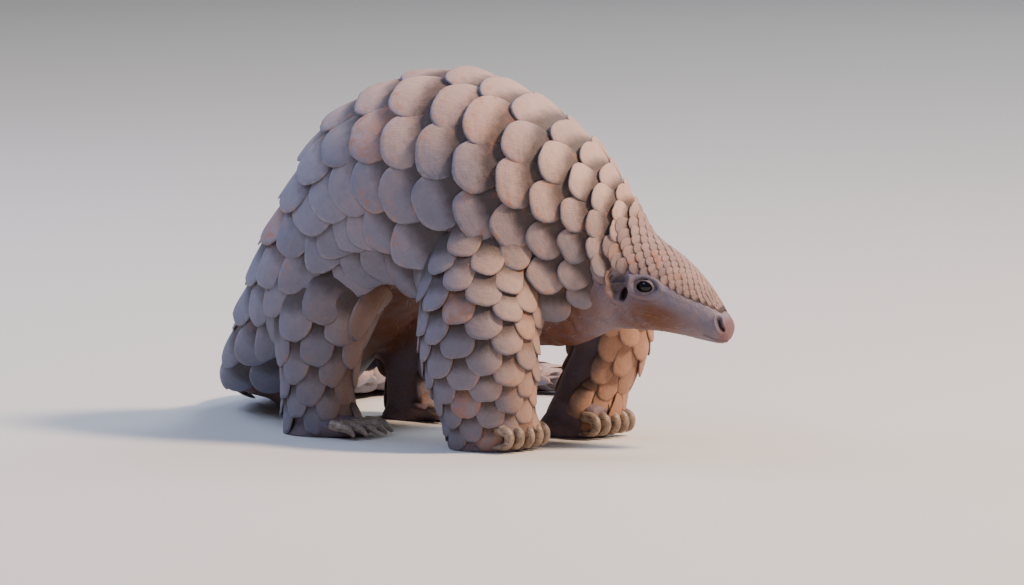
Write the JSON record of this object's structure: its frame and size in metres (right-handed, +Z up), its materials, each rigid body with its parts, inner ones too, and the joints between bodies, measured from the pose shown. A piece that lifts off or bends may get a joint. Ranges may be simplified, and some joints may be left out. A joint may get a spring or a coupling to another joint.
{
  "type": "pangolin",
  "caption": "Life-size Indian pangolin in a walking stance, back arched and clad in overlapping scales, head low, tail curled round behind it on the floor.",
  "frame": {"origin": "on the floor, under the middle of the whole animal's bounding box", "axes": "+X the way the trunk faces and the longest extent, +Y the animal's left, +Z up"},
  "size_m": [0.479, 0.3606, 0.2516],
  "materials": {
    "scales": "dry horn scales, dusty grey-brown with paler worn rims",
    "face_skin": "bare pinkish grey-brown skin",
    "ear_skin": "bare light tan skin",
    "eye": "wet blue-black",
    "claw": "worn horn"
  },
  "bodies": {
    "root": {"foreclaw_right_1": "claw", "foreclaw_right_2": "claw", "foreclaw_right_3": "claw", "foreclaw_right_4": "claw", "foreclaw_right_5": "claw", "foreclaw_left_1": "claw", "foreclaw_left_2": "claw", "foreclaw_left_3": "claw", "foreclaw_left_4": "claw", "foreclaw_left_5": "claw", "hindclaw_right_1": "claw", "hindclaw_right_2": "claw", "hindclaw_right_3": "claw", "hindclaw_right_4": "claw", "hindclaw_right_5": "claw", "hindclaw_left_1": "claw", "hindclaw_left_2": "claw", "hindclaw_left_3": "claw", "hindclaw_left_4": "claw", "hindclaw_left_5": "claw", "eye_right": "eye", "ear_right": "ear_skin", "eye_left": "eye", "ear_left": "ear_skin", "foreleg_right": "scales", "foreleg_left": "scales", "hindleg_right": "scales", "hindleg_left": "scales", "head": "face_skin", "neck": "scales", "forequarters": "scales", "back": "scales", "hindquarters": "scales", "rump": "scales", "tail_base": "scales", "tail_middle": "scales", "tail_tip": "scales"}
  },
  "joints": []
}
